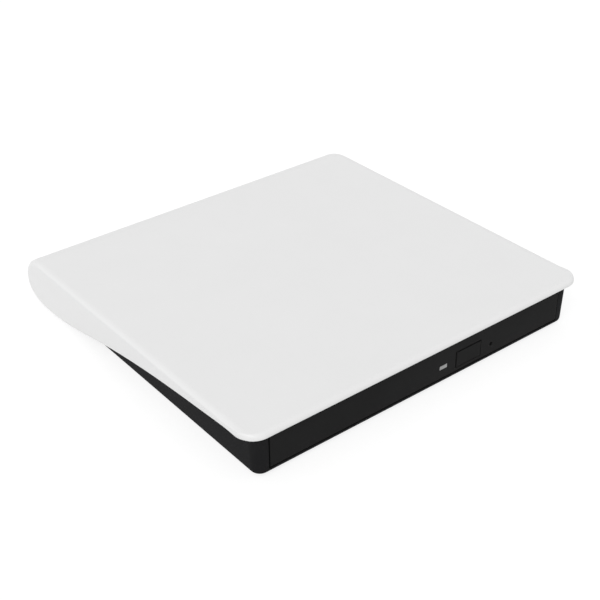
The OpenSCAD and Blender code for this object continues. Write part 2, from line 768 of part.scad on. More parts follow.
// Tray
sheet_z = deck_top - sheet_t;
slot_half = holder_w / 2 + 2;
slot_u1 = lens_in_r + sled_travel + holder_l / 2 + 1.6;
pocket_r = norm([slot_u1, slot_half]) + 1.2;
spindle_hole_r = table_d / 2 + 1.5;
motor_u0 = -5;
shield_holes = [[-rod_v - 3, -rod_v + 1], [-rod_v - 3, rod_v - 1], [rod_u1 - 10.8, -rod_v - 5.6],
    [rod_u1 - 14.8, screw_v + 7.5]];

module sheet_outline(grow) {
    circle(r = spindle_hole_r + 3 + grow);
    translate([0, -slot_half - 2.5 - grow])
        square([well_r - 2.5 + grow, 2 * (slot_half + 2.5 + grow)]);
    translate([motor_u0 - 2.5 - grow, 0])
        square([screw_u0 - motor_u0 + 5 + 2 * grow, screw_v + motor_d / 2 + 3 + grow]);
}

module window_outline() {
    circle(r = spindle_hole_r);
    translate([0, -slot_half])
        square([well_r - 2.5, 2 * slot_half]);
    translate([motor_u0 - 0.5, screw_v - motor_d / 2 - 0.6])
        square([screw_u0 - motor_u0 + 1, motor_d + 1.2]);
}

boss_in = 3.5;
shield_bosses = [[-beam_x0 + boss_in, spin_y + 39], [-beam_x0 + boss_in, spin_y + 5],
    [tray_board_x0 - 4, spin_y + 39], [tray_board_x0 - 4, spin_y - 37]];

module disc_tray() {
    color("#2b2c2e")
    difference() {
        union() {
            difference() {
                plate(round_box(-tray_x, tray_x, tray_y0, tray_y1, 2.5), deck_z, rim_z);
                translate([0, spin_y, well_z])
                    cylinder(r = well_r, h = rim_z, $fn = 96);
                translate([0, spin_y, deck_top])
                    cylinder(r = small_r, h = rim_z, $fn = 96);
                // Pockets in the four corners, outside the well's wall and clear of the lens track
                for (sx = [-1, 1])
                    for (sy = [-1, 1])
                        difference() {
                            slab(sx * (tray_x - 9) - 7.4, sx * (tray_x - 9) + 7.4, sy * (tray_y1 - 12) - 8,
                                sy * (tray_y1 - 12) + 8, well_z, rim_z + cut);
                            translate([0, spin_y, deck_top])
                                cylinder(r = pocket_r, h = rim_z, $fn = 96);
                        }
                // Finger scoops at the front and the rear
                for (x = [-30, 30])
                    translate([x, tray_y0 + 12, disc_z - 0.2])
                        cylinder(d = 17, h = rim_z);
                // Seat of the mechanism sheet, the window under it, and the far end of the lens track
                translate([0, 0, sheet_z])
                    on_track()
                        linear_extrude(rim_z)
                            sheet_outline(0.2);
                translate([0, 0, deck_z - cut])
                    on_track()
                        linear_extrude(rim_z)
                            window_outline();
                on_track()
                    slab(well_r - 8, slot_u1, -slot_half, slot_half, deck_z - cut, well_z + 0.15);
            }
            // Beams, front wall and the tongues that run in the rails
            for (s = [0, 1])
                mirror([s, 0, 0]) {
                    slab(beam_x0, beam_x1, tray_y0, tray_y1 - 2, shield_top, deck_z + 0.2);
                    slab(beam_x1 - 0.2, tongue_x, tray_y0 + 3, tray_y1 - 2, tongue_z, tongue_top);
                }
            slab(-beam_x1, beam_x1, tray_y0, tray_y0 + front_wall, shield_top, deck_z + 0.2);
            // Posts for the traverse, the shield, the boards and the latch
            for (q = shield_holes)
                on_track()
                    translate([q[0], q[1], frame_top + 0.25])
                        cylinder(d = 3.6, h = deck_z - frame_top);
            for (q = shield_bosses)
                translate([q[0], q[1], shield_top])
                    cylinder(d = 4, h = deck_z - shield_top + 0.2);
            for (q = [[tray_board_x0 + 2.5, tray_board_y0 + 4], [tray_board_x1 - 2.5, tray_board_y1 - 4]])
                translate([q[0], q[1], tray_board_z + board_t])
                    cylinder(d = 3, h = deck_z - tray_board_z);
            translate([button_x + button_w - 1, tray_y0 + 8.6, button_board_z + button_board_t])
                cylinder(d = 2.6, h = deck_z - button_board_z);
            translate([latch_x, latch_y, lever_z - 0.2])
                cylinder(d = pivot_d, h = deck_z - lever_z + 0.4);
        }
        // Room for the end of the traverse
        on_track()
            slab(0, rod_u1 + traverse_room, -rod_v - clamp_half - traverse_room, rod_v + clamp_half + traverse_room,
                shield_top - cut, deck_z);
        // Screw holes, and the openings in the front wall for the window, the button's stem and the pin
        for (q = shield_holes)
            on_track()
                translate([q[0], q[1], frame_z])
                    cylinder(d = 1.7, h = deck_z - frame_z);
        for (q = shield_bosses)
            translate([q[0], q[1], shield_z])
                cylinder(d = 1.7, h = deck_z - shield_z);
        slab(window_x - window_w / 2 - 0.3, window_x + window_w / 2 + 0.3, tray_y0 - cut,
            tray_y0 + front_wall + cut, window_z - window_h / 2 - 0.3, window_z + window_h / 2 + 0.3);
        slab(stem_x - 2, stem_x + 2, tray_y0 - cut, tray_y0 + front_wall + cut, stem_z - 2, stem_z + 2);
        bar_y(pin_hole_x, pin_z, pin_hole_d + 0.8, tray_y0 - cut, tray_y0 + front_wall + cut);
    }
}

module tray_bezel() {
    color("#232324")
    difference() {
        union() {
            difference() {
                run_x(concat(
                    [[bezel_back, bezel_z], [bezel_back, bezel_top]],
                    arc([front_y + 0.6, bezel_top - 0.6], 0.6, 90, 180, 4),
                    arc([front_y + 0.6, bezel_z + 0.6], 0.6, 180, 270, 4)), bezel_x0, bezel_x1);
                slab(bezel_x0 + 1.5, bezel_x1 - 1.5, front_y + bezel_wall, bezel_back + cut, bezel_z + 1,
                    bezel_top - 1.5);
            }
            // Tube of the pin hole, and clips that hold the bezel on the tray
            bar_y(pin_hole_x, pin_z, pin_hole_d + 1.8, front_y + bezel_wall - 0.2, bezel_back);
            for (x = [bezel_x0 + 17.4, -8, bezel_x1 - 19.7])
                slab(x - 3, x + 3, front_y + bezel_wall - 0.2, bezel_back, window_z - 1.2, window_z + 1.2);
        }
        slab(button_x - button_seam, button_x + button_w + button_gap, front_y - cut, bezel_back + cut,
            button_z - button_gap, button_z + button_h + button_seam);
        slab(window_x - window_w / 2 - 0.05, window_x + window_w / 2 + 0.05, front_y - cut, bezel_back + cut,
            window_z - window_h / 2 - 0.05, window_z + window_h / 2 + 0.05);
        bar_y(pin_hole_x, pin_z, pin_hole_d, front_y - cut, bezel_back + cut);
    }
}

module indicator_lens() {
    color("#d4d6d4")
    slab(window_x - window_w / 2, window_x + window_w / 2, front_y, tray_y0 + front_wall,
        window_z - window_h / 2, window_z + window_h / 2);
}

module eject_button() {
    color("#262627")
    union() {
        plate_y = front_y + bezel_wall - 0.3;
        difference() {
            slab(button_x, button_x + button_w, front_y, plate_y, button_z, button_z + button_h);
            slab(button_x + 1, button_x + button_w - 1, front_y + 1, plate_y + cut, button_z + 1,
                button_z + button_h - 1);
        }
        bar_y(stem_x, stem_z, stem_d, front_y + 0.8, tray_y0 + front_wall + 0.4);
    }
}

module button_board() {
    color("#1f5a33")
    slab(window_x - 5.5, button_x + button_w + 1.2, tray_y0 + front_wall, tray_y0 + front_wall + 8.8,
        button_board_z, button_board_z + button_board_t);
}

switch_y = tray_y0 + front_wall + 0.4 + button_travel + 0.1;

module button_switch() {
    color("#2a2a2c")
    union() {
        slab(stem_x - 2.8, stem_x + 2.8, switch_y + 0.4, switch_y + 3.6, button_board_z + button_board_t,
            stem_z + 1.3);
        bar_y(stem_x, stem_z, 1.6, switch_y, switch_y + 0.6);
    }
}

module indicator_led() {
    color("#e6dca0")
    slab(window_x - 1.2, window_x + 1.2, tray_y0 + front_wall + 0.2, tray_y0 + front_wall + 1.6,
        button_board_z + button_board_t, window_z + 0.7);
}

module mechanism_cover() {
    color("#c9ccd0")
    translate([0, 0, sheet_z])
        on_track()
            linear_extrude(sheet_t)
                difference() {
                    sheet_outline(0);
                    circle(r = spindle_hole_r);
                    translate([0, -slot_half])
                        square([well_r, 2 * slot_half]);
                }
}

module tray_shield() {
    color("#bfc2c6")
    difference() {
        slab(-beam_x1, channel_x - 0.6, tray_y0 + 0.4, shield_y1, shield_z, shield_top);
        for (q = shield_holes)
            on_track()
                translate([q[0], q[1], shield_z - cut])
                    cylinder(r = damper_r + 0.4, h = shield_t + 2 * cut);
        for (q = shield_bosses)
            translate([q[0], q[1], shield_z - cut])
                cylinder(d = 1.9, h = shield_t + 2 * cut);
        slab(cable_x0 - 0.6, cable_x0 + cable_w + 0.6, cable_end - 2, cable_end + 2, shield_z - cut,
            shield_top + cut);
        translate([0, spin_y, shield_z - cut])
            cylinder(d = 8, h = shield_t + 2 * cut);
    }
}

module tray_board() {
    color("#1f5a33")
    difference() {
        slab(tray_board_x0, tray_board_x1, tray_board_y0, tray_board_y1, tray_board_z, tray_board_z + board_t);
        slab(cable_x0 - 0.5, cable_x0 + cable_w + 0.5, cable_end - 0.5, cable_end + 0.6, tray_board_z - cut,
            tray_board_z + 0.01);
    }
}

chip_x = tray_board_x0 + 4;
chip_t = 1.4;
big_chip = 12;
small_chip_w = 9;
small_chip_l = 7;

module tray_chips() {
    color("#222226")
    union() {
        slab(chip_x, chip_x + big_chip, spin_y - 11, spin_y - 11 + big_chip, tray_board_z + board_t,
            tray_board_z + board_t + chip_t);
        slab(chip_x + 1, chip_x + 1 + small_chip_w, spin_y + 9, spin_y + 9 + small_chip_l, tray_board_z + board_t,
            tray_board_z + board_t + chip_t - 0.2);
        slab(cable_x0, cable_x0 + cable_w, cable_end + 2, cable_end + 6, tray_board_z + board_t,
            tray_board_z + board_t + chip_t + 0.2);
    }
}

module tray_screws() {
    color("#8a8d92")
    for (q = shield_bosses)
        translate([q[0], q[1], shield_z])
            pan_screw(3.2, 0.3, 1.6, 3.6);
}

// Traverse: the plate that carries the spindle motor, the rods and the sled
module traverse_frame() {
    color("#8f9398")
    translate([0, 0, frame_z])
        on_track()
            linear_extrude(frame_t)
                difference() {
                    union() {
                        translate([-rod_v - 5, -rod_v - 1.5])
                            square([rod_u1 + rod_v + 5, 2 * rod_v + 3]);
                        translate([motor_u0 - 3, 0])
                            square([screw_u1 + 2.5 - motor_u0 + 3, screw_v + 3.6]);
                        for (q = shield_holes) {
                            translate(q)
                                circle(r = damper_r + 0.3);
                            translate([q[0] - 2.4, min(0, q[1])])
                                square([4.8, abs(q[1])]);
                        }
                    }
                    for (q = shield_holes)
                        translate(q)
                            circle(r = damper_r - 0.7);
                    circle(r = shaft_d / 2 + 1.8);
                    translate([rod_u0 + 6, -rod_v + 3])
                        square([rod_u1 - rod_u0 - 10, 2 * rod_v - 6]);
                    translate([motor_u0 - 0.3, screw_v - motor_d / 2 - 0.3])
                        square([screw_u0 - motor_u0 + 0.6, motor_d + 0.6]);
                }
}

module traverse_dampers() {
    color("#1a1a1a")
    for (q = shield_holes)
        on_track()
            translate([q[0], q[1], frame_z])
                rotate_extrude()
                    polygon([[1.1, -0.25], [damper_r, -0.25], [damper_r, 0], [damper_r - 0.7, 0],
                        [damper_r - 0.7, frame_t], [damper_r, frame_t], [damper_r, frame_t + 0.25],
                        [1.1, frame_t + 0.25]]);
}

module traverse_screws() {
    color("#8a8d92")
    for (q = shield_holes)
        on_track()
            translate([q[0], q[1], frame_z - 0.25])
                pan_screw(4.4, 0.45, 1.6, frame_t + 2.4);
}

module guide_rod_main() {
    color("#d5d8dc")
    on_track()
        bar_u(rod_u0 + 0.2, rod_u1 - 0.2, rod_v, rod_d);
}

module guide_rod_sub() {
    color("#d5d8dc")
    on_track()
        bar_u(rod_u0 + 0.2, rod_u1 - 0.2, -rod_v, rod_d);
}

module rod_clamps() {
    color("#3b3d40")
    on_track()
        for (u = [rod_u0, rod_u1 - clamp_t])
            for (v = [-rod_v, rod_v])
                difference() {
                    slab(u, u + clamp_t, v - clamp_half, v + clamp_half, frame_top, sled_top);
                    bar_u(rod_u0 + 0.2, rod_u1 - 0.2, v, rod_d);
                }
}

module sled_motor() {
    color("#a4a7ab")
    on_track()
        difference() {
            union() {
                bar_u(motor_u0, screw_u0 - 1.2, screw_v, motor_d);
                // Bracket: its foot lies on the frame and its far ear carries the screw's end
                slab(screw_u0 - 1.2, screw_u0 - 0.6, screw_v - motor_d / 2, screw_v + motor_d / 2, frame_z,
                    rod_z + motor_d / 2);
                slab(screw_u0 - 1.2, screw_u1 + 1.4, screw_v + motor_d / 2 - 0.6, screw_v + motor_d / 2 + 0.6,
                    frame_top, frame_top + 0.6);
                slab(screw_u1 + 0.4, screw_u1 + 1.4, screw_v - 1.6, screw_v + motor_d / 2 + 0.6, frame_top,
                    rod_z + 1.6);
            }
            bar_u(screw_u0 - 3, screw_u1 + 3, screw_v, 1 + 2 * run_fit);
        }
}

module lead_screw() {
    color("#caa96a")
    on_track()
        union() {
            bar_u(screw_u0 - 0.2, screw_u1, screw_v, screw_d);
            bar_u(screw_u0 - 2.6, screw_u1 + 1.2, screw_v, 1);
        }
}

// Spindle
module spindle_base() {
    color("#a4a7ab")
    translate([0, 0, frame_top])
        on_track()
            linear_extrude(0.4)
                difference() {
                    union() {
                        circle(d = rotor_d + 1.6);
                        for (a = [60, 180, 300])
                            rotate(a)
                                translate([rotor_d / 2 - 1, -2])
                                    square([3, 4]);
                    }
                    circle(d = shaft_d + 3.1);
                }
}

module spindle_bearing() {
    color("#b88a4a")
    translate([0, spin_y, frame_top + 0.05])
        rotate_extrude()
            polygon([[shaft_d / 2 + run_fit, 0], [shaft_d / 2 + 1.5, 0], [shaft_d / 2 + 1.5, 2.2],
                [shaft_d / 2 + run_fit, 2.2]]);
}

module spindle_stator() {
    color("#b06a3a")
    translate([0, spin_y, frame_top + 0.5])
        linear_extrude(1.5)
            difference() {
                union() {
                    circle(d = shaft_d + 6.4);
                    for (a = [0 : 40 : 320])
                        rotate(a) {
                            translate([0, -0.9])
                                square([rotor_d / 2 - 1.7, 1.8]);
                            translate([rotor_d / 2 - 2.6, -2])
                                square([1, 4]);
                        }
                }
                circle(d = shaft_d + 3);
            }
}

module spindle_rotor() {
    color("#c7cace")
    translate([0, spin_y, 0])
        union() {
            difference() {
                translate([0, 0, rotor_z])
                    cylinder(d = rotor_d, h = table_z - rotor_z);
                translate([0, 0, rotor_z - cut])
                    cylinder(d = rotor_d - 1.2, h = table_z - rotor_z - 0.6 + cut);
            }
            translate([0, 0, frame_z + 0.2])
                cylinder(d = shaft_d, h = table_z - frame_z - 0.3);
        }
}

module turntable() {
    color("#26272a")
    translate([0, spin_y, 0])
        difference() {
            union() {
                translate([0, 0, table_z])
                    cylinder(d = table_d, h = table_top - table_z);
                rotate_extrude()
                    polygon(concat([[0, table_z], [hub_r, table_z], [hub_r, ring_top], [head_r, ring_top]],
                        arc([head_r - 1.2, hub_top - 0.9], 1.2, 0, 90, 6), [[2, hub_top + 0.3]],
                        [[2, hub_top - 0.5], [0, hub_top - 0.5]]));
            }
            for (a = [90, 210, 330])
                rotate([0, 0, a])
                    slab(hub_r - 3, hub_r + cut, -pawl_w / 2 - pawl_gap, pawl_w / 2 + pawl_gap, pawl_z - pawl_gap,
                        pawl_z + pawl_h + pawl_gap);
        }
}

module turntable_pad() {
    color("#3a3b3d")
    translate([0, spin_y, table_top])
        rotate_extrude()
            polygon([[hub_r + 2, 0], [table_d / 2 - 0.4, 0], [table_d / 2 - 0.4, pad_t], [hub_r + 2, pad_t]]);
}

// One spring pawl of the hub. Its nose presses outward on the disc's bore.
module hub_pawl(a) {
    color("#d9dadb")
    translate([0, spin_y, pawl_z])
        rotate([0, 0, a])
            rotate([90, 0, 0])
                linear_extrude(pawl_w, center = true)
                    polygon([[hub_r - 2.2, 0], [hub_r - 0.2, 0], [hub_r + pawl_out, pawl_h * 0.5],
                        [hub_r - 0.4, pawl_h], [hub_r - 2.2, pawl_h]]);
}

module hub_pawl_a() {
    hub_pawl(90);
}

module hub_pawl_b() {
    hub_pawl(210);
}

module hub_pawl_c() {
    hub_pawl(330);
}

// Pickup sled, with the lens at its innermost place
module optical_sled() {
    color("#5b5e63")
    on_track()
        translate([lens_in_r, 0, 0])
            difference() {
                plate(concat(
                    [[-sled_back, -sled_half], [sled_front - 3, -sled_half], [sled_front, -sled_half + 3]],
                    [[sled_front, sled_half], [-sled_back, sled_half]]), sled_z, sled_top);
                slab(-holder_l / 2 - holder_gap, holder_l / 2 + holder_gap, -holder_w / 2 - holder_gap,
                    holder_w / 2 + holder_gap, sled_z - cut, sled_top + cut);
                bar_u(-sled_back - cut, sled_front + cut, rod_v, rod_d + 2 * run_fit);
                slab(-sled_back - cut, sled_front + cut, -sled_half - cut, -rod_v + rod_d / 2 + 0.1,
                    rod_z - rod_d / 2 - run_fit, rod_z + rod_d / 2 + run_fit);
            }
}

module sled_nut() {
    color("#e2e2de")
    on_track()
        translate([lens_in_r, 0, 0])
            difference() {
                union() {
                    slab(-5, 1, sled_half, screw_v + 1.2, rod_z - 1.3, rod_z + 1.3);
                }
                bar_u(-5 - cut, 1 + cut, screw_v, screw_d + 2 * run_fit);
            }
}

module laser_module() {
    color("#b58d4c")
    on_track()
        translate([lens_in_r, 0, 0])
            slab(-4, 4, holder_w / 2 + holder_gap + 0.5, rod_v - 3.4, sled_z - 0.7, sled_z);
}

module lens_holder() {
    color("#1e1f21")
    on_track()
        translate([lens_in_r, 0, 0])
            difference() {
                union() {
                    slab(-holder_l / 2, holder_l / 2, -holder_w / 2, holder_w / 2, sled_z + 0.9, sled_top + 0.4);
                    translate([0, 0, sled_z + 0.9])
                        cylinder(d = lens_d + 1.8, h = sled_h - 0.1);
                }
                translate([0, 0, sled_z])
                    cylinder(d = lens_d + 0.06, h = sled_h + 2);
            }
}

module objective_lens() {
    color("#a9c4d8")
    on_track()
        translate([lens_in_r, 0, sled_top - 0.4])
            rotate_extrude()
                polygon(concat([[0, 0], [lens_d / 2, 0], [lens_d / 2, 0.6]],
                    [for (i = [1 : 5]) [lens_d / 2 * cos(18 * i), 0.6 + 0.5 * sin(18 * i)]]));
}

// Latch: a solenoid lets the lever's hook go from the post on the chassis floor
module latch_solenoid() {
    color("#a4a7ab")
    difference() {
        union() {
            slab(coil_x, coil_x + coil_w, coil_y, coil_y + coil_w, shield_top, shield_top + coil_h);
            bar_y(coil_x + coil_w / 2, lever_z + lever_t / 2, plunger_d, latch_y + 2.2, coil_y + 0.5);
        }
        slab(coil_x + coil_wall, coil_x + coil_w - coil_wall, coil_y + coil_wall, coil_y + coil_w - coil_wall,
            shield_top + coil_h - coil_wall, shield_top + coil_h + cut);
    }
}

module latch_lever() {
    color("#d9d5c8")
    translate([latch_x, latch_y, lever_z])
        difference() {
            union() {
                cylinder(d = pivot_d + 3, h = lever_t);
                // Release arm, pushed by the pin or the solenoid
                slab(pin_hole_x - latch_x - 1.5, 0, -1.2, 1.2, 0, lever_t);
                // Latch arm, drawn hooked on the post and swung back to where it lets the post go
                rotate([0, 0, -latch_swing])
                    plate([[-1.2, 0], [-1.2, post_y - latch_y + 1.4], [-0.6, post_y - latch_y + 1.7 - 0.2],
                        [post_x - latch_x + 0.8, post_y - latch_y + post_d / 2 + 0.5],
                        [post_x - latch_x + 0.8, post_y - latch_y + post_d / 2 + 1.9], [1.2, post_y - latch_y + 3.9],
                        [1.2, 0]], 0, lever_t);
            }
            translate([0, 0, -cut])
                cylinder(d = pivot_d + 2 * run_fit, h = lever_t + 2 * cut);
        }
}

top_cover();
base_case();
rubber_feet();
case_screws();
bridge_board();
bridge_chips();
sata_plug();
usb_socket_shell();
usb_socket_tongue();
drive_chassis();
drive_lid();
drive_screws();
rail_guide_left();
rail_guide_right();
latch_post();
connector_board();
sata_receptacle();
flex_cable();
slide_rail_left();
slide_rail_right();
disc_tray();
tray_bezel();
indicator_lens();
indicator_led();
button_board();
button_switch();
mechanism_cover();
tray_shield();
tray_board();
tray_chips();
tray_screws();
traverse_frame();
traverse_dampers();
traverse_screws();
guide_rod_main();
guide_rod_sub();
rod_clamps();
sled_motor();
lead_screw();
spindle_base();
spindle_bearing();
spindle_stator();
spindle_rotor();
turntable();
turntable_pad();
hub_pawl_a();
hub_pawl_b();
hub_pawl_c();
optical_sled();
sled_nut();
laser_module();
lens_holder();
objective_lens();
eject_button();
latch_solenoid();
latch_lever();
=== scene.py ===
"""Looks of an external disc drive: a white wing-shaped cover on a black base, and a slim tray drive inside.

Sizes are in millimetres and become metres when a mesh is made. X runs right, Y to the rear and Z up.
"""
import json
import math

import bmesh
import bpy
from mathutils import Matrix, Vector


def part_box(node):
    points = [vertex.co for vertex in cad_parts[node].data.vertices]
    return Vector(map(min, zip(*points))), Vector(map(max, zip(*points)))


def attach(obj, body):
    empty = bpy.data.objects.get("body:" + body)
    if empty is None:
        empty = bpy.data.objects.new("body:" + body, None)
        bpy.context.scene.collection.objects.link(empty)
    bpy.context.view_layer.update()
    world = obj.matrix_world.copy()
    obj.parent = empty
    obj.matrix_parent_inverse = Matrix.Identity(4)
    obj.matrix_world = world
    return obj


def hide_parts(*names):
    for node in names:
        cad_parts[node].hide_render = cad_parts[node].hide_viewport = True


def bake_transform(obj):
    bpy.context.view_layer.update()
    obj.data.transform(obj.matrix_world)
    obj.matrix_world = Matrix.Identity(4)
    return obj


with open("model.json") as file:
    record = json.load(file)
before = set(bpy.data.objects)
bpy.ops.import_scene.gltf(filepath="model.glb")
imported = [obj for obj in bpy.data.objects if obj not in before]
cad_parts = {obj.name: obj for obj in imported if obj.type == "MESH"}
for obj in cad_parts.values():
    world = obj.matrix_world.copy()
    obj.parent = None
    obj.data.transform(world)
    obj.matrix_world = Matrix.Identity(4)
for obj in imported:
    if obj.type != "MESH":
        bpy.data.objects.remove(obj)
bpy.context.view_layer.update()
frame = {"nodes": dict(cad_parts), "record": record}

MM = 0.001
nodes = frame["nodes"]
slot_of = {row["node"]: row["material_slot"] for row in frame["record"]["subparts"]}


# Outlines

def spread(a, b, count):
    """Even steps from a to b, both ends included."""
    return [a + (b - a) * i / count for i in range(count + 1)]


def arc(centre, radius, start, end, count):
    """Points of a circle's arc, with angles in degrees."""
    turns = [math.radians(a) for a in spread(start, end, count)]
    return [(centre[0] + radius * math.cos(a), centre[1] + radius * math.sin(a)) for a in turns]


def circle(centre, radius, count):
    """Points all round a circle."""
    return arc(centre, radius, 0, 360, count)[:-1]


def bezier(a, b, c, d, count):
    """Points of a cubic curve from a to d."""
    points = []
    for i in range(count + 1):
        t = i / count
        s = 1 - t
        weights = (s ** 3, 3 * s * s * t, 3 * s * t * t, t ** 3)
        points.append(tuple(sum(w * p[k] for w, p in zip(weights, (a, b, c, d))) for k in (0, 1)))
    return points


def box_outline(x0, x1, y0, y1):
    return [(x0, y0), (x1, y0), (x1, y1), (x0, y1)]


def stadium(width, height, count=12):
    """A flat oval round the origin: half circles joined by straight lines."""
    radius = height / 2
    reach = width / 2 - radius
    return arc((reach, 0), radius, -90, 90, count) + arc((-reach, 0), radius, 90, 270, count)


def inset(outline, depth):
    """A closed counter-clockwise outline, moved inward along its normals by a depth for each point."""
    moved = []
    for i, point in enumerate(outline):
        before = Vector(outline[i - 1])
        after = Vector(outline[(i + 1) % len(outline)])
        along = (after - before).normalized()
        step = depth(point)
        moved.append((point[0] - step * along.y, point[1] + step * along.x))
    return moved


# Meshes

def new_object(name, data):
    made = bpy.data.objects.new(name, data)
    bpy.context.scene.collection.objects.link(made)
    return made


def loft(name, rings):
    """A closed solid through rings of as many points each, in millimetres."""
    bm = bmesh.new()
    rows = [[bm.verts.new(Vector(p) * MM) for p in ring] for ring in rings]
    count = len(rings[0])
    for low, high in zip(rows, rows[1:]):
        for i in range(count):
            j = (i + 1) % count
            bm.faces.new((low[i], high[i], high[j], low[j]))
    bm.faces.new(rows[0])
    bm.faces.new(reversed(rows[-1]))
    bmesh.ops.recalc_face_normals(bm, faces=bm.faces)
    mesh = bpy.data.meshes.new(name)
    bm.to_mesh(mesh)
    bm.free()
    return new_object(name, mesh)


def run_x(name, outline, x0, x1):
    """A side outline in Y and Z, run along X."""
    return loft(name, [[(x, y, z) for y, z in outline] for x in (x0, x1)])


def run_y(name, outline, y0, y1):
    """An outline in X and Z, run along Y."""
    return loft(name, [[(x, y, z) for x, z in outline] for y in (y0, y1)])


def run_z(name, outline, z0, z1):
    """An outline in X and Y, run up Z."""
    return loft(name, [[(x, y, z) for x, y in outline] for z in (z0, z1)])


def carve(target, operation, tool):
    """Unites the tool with the target or cuts it out, and removes the tool."""
    step = target.modifiers.new("carve", "BOOLEAN")
    step.operation = operation
    step.solver = "EXACT"
    step.object = tool
    graph = bpy.context.evaluated_depsgraph_get()
    result = bpy.data.meshes.new_from_object(target.evaluated_get(graph))
    target.modifiers.clear()
    rough = target.data
    target.data = result
    bpy.data.meshes.remove(rough)
    bpy.data.objects.remove(tool)


SMOOTH_ANGLE = 30.0


def smooth(mesh):
    """Smooth faces, with sharp edges where two faces meet at more than SMOOTH_ANGLE degrees."""
    mesh.shade_smooth()
    mesh.set_sharp_from_angle(angle=math.radians(SMOOTH_ANGLE))


def keep_flats(piece):
    """Takes each corner's normal from the largest faces there, so that flats stay flat beside roundings."""
    step = piece.modifiers.new("normals", "WEIGHTED_NORMAL")
    step.keep_sharp = True


# Materials, one for each of the record's slots

LOOKS = {}
NOISE_LOW = 0.3     # most values of a noise lie between these two
NOISE_HIGH = 0.7
EVEN = (1.0, 1.0, 1.0)


def shade(colour, share):
    return tuple(c * share for c in colour)


class Look:
    """One material in the making: a principled shader and the patterns that drive it."""

    def __init__(self, name):
        LOOKS[name] = bpy.data.materials.new(name)
        LOOKS[name].use_nodes = True
        self.tree = LOOKS[name].node_tree
        self.shader = self.tree.nodes["Principled BSDF"]

    def node(self, kind, **inputs):
        made = self.tree.nodes.new(kind)
        for name, value in inputs.items():
            made.inputs[name.replace("_", " ").title()].default_value = value
        return made

    def link(self, source, target):
        self.tree.links.new(source, target)

    def noise(self, size, detail=3.0, stretch=EVEN):
        """A noise whose grains are about size millimetres, drawn out along an axis by stretch."""
        place = self.node("ShaderNodeTexCoord")
        mapping = self.node("ShaderNodeMapping", scale=[1 / s for s in stretch])
        texture = self.node("ShaderNodeTexNoise", scale=1 / (size * MM), detail=detail)
        self.link(place.outputs["Object"], mapping.inputs["Vector"])
        self.link(mapping.outputs["Vector"], texture.inputs["Vector"])
        return texture.outputs["Fac"]

    def pattern(self, kind, unit):
        """A regular pattern, in which unit millimetres count as 1."""
        place = self.node("ShaderNodeTexCoord")
        texture = self.node(kind, scale=1 / (unit * MM))
        self.link(place.outputs["Object"], texture.inputs["Vector"])
        return texture

    def colour(self, factor, low, high):
        ramp = self.node("ShaderNodeValToRGB")
        ends = ramp.color_ramp.elements
        for end, place, tone in zip(ends, (NOISE_LOW, NOISE_HIGH), (low, high)):
            end.position = place
            end.color = (*tone, 1.0)
        self.link(factor, ramp.inputs["Fac"])
        self.link(ramp.outputs["Color"], self.shader.inputs["Base Color"])

    def clouds(self, size, colour, mottle):
        """A colour that is a little darker and a little paler in clouds of that size."""
        self.colour(self.noise(size), shade(colour, 1 - mottle), shade(colour, 1 + mottle))

    def roughness(self, factor, low, high):
        inputs = dict(from_min=NOISE_LOW, from_max=NOISE_HIGH, to_min=low, to_max=high)
        ramp = self.node("ShaderNodeMapRange", **inputs)
        self.link(factor, ramp.inputs["Value"])
        self.link(ramp.outputs["Result"], self.shader.inputs["Roughness"])

    def bump(self, factor, depth):
        """Relief of that depth in millimetres."""
        relief = self.node("ShaderNodeBump", strength=1.0, distance=depth * MM)
        self.link(factor, relief.inputs["Height"])
        self.link(relief.outputs["Normal"], self.shader.inputs["Normal"])

    def set(self, **values):
        for name, value in values.items():
            self.shader.inputs[name.replace("_", " ")].default_value = value


def moulded(name, colour, rough, grain, depth, mottle=0.04, gloss=0.5):
    """Moulded plastic: an even colour with faint clouds, and a fine spark-eroded grain."""
    cloud_size = 18.0
    rough_spread = 0.06
    look = Look(name)
    look.clouds(cloud_size, colour, mottle)
    texture = look.noise(grain, detail=2.0)
    look.roughness(texture, rough - rough_spread, rough + rough_spread)
    look.bump(texture, depth)
    look.set(Specular_IOR_Level=gloss)


def metal(name, colour, rough, stretch=EVEN, grain=0.4, depth=0.004):
    """Bare or plated metal, with a grain drawn out along its rolling or turning direction."""
    cloud_size = 9.0
    rough_spread = 0.08
    look = Look(name)
    look.clouds(cloud_size, colour, mottle=0.08)
    lines = look.noise(grain, detail=4.0, stretch=stretch)
    look.roughness(lines, rough - rough_spread, rough + rough_spread)
    look.bump(lines, depth)
    look.set(Metallic=1.0)


def circuit_board(name):
    """Solder mask over copper runs: the runs show as slightly paler, raised lines."""
    look = Look(name)
    runs = look.pattern("ShaderNodeTexBrick", unit=2.4).outputs["Fac"]
    look.colour(runs, low=(0.012, 0.075, 0.03), high=(0.03, 0.14, 0.06))
    look.roughness(look.noise(size=0.8), low=0.24, high=0.4)
    look.bump(runs, depth=0.03)
    look.set(Coat_Weight=0.3)


def winding(name):
    """Enamelled copper wire, wound round and round."""
    look = Look(name)
    wires = look.noise(size=0.25, detail=1.0, stretch=(3.0, 3.0, 1.0))
    look.colour(wires, low=(0.3, 0.09, 0.03), high=(0.62, 0.24, 0.09))
    look.roughness(wires, low=0.25, high=0.45)
    look.bump(wires, depth=0.05)
    look.set(Metallic=0.8, Coat_Weight=0.5)


def clear_moulding(name, colour, milk):
    """A light guide or a small lens: a glossy body, a little milky."""
    rough_spread = 0.1
    look = Look(name)
    look.colour(look.noise(size=2.5), low=shade(colour, share=0.94), high=shade(colour, share=1.04))
    look.roughness(look.noise(size=1.2), low=milk, high=milk + rough_spread)
    look.bump(look.noise(size=0.5), depth=0.003)
    look.set(IOR=1.5, Coat_Weight=0.4, Coat_Roughness=0.05)


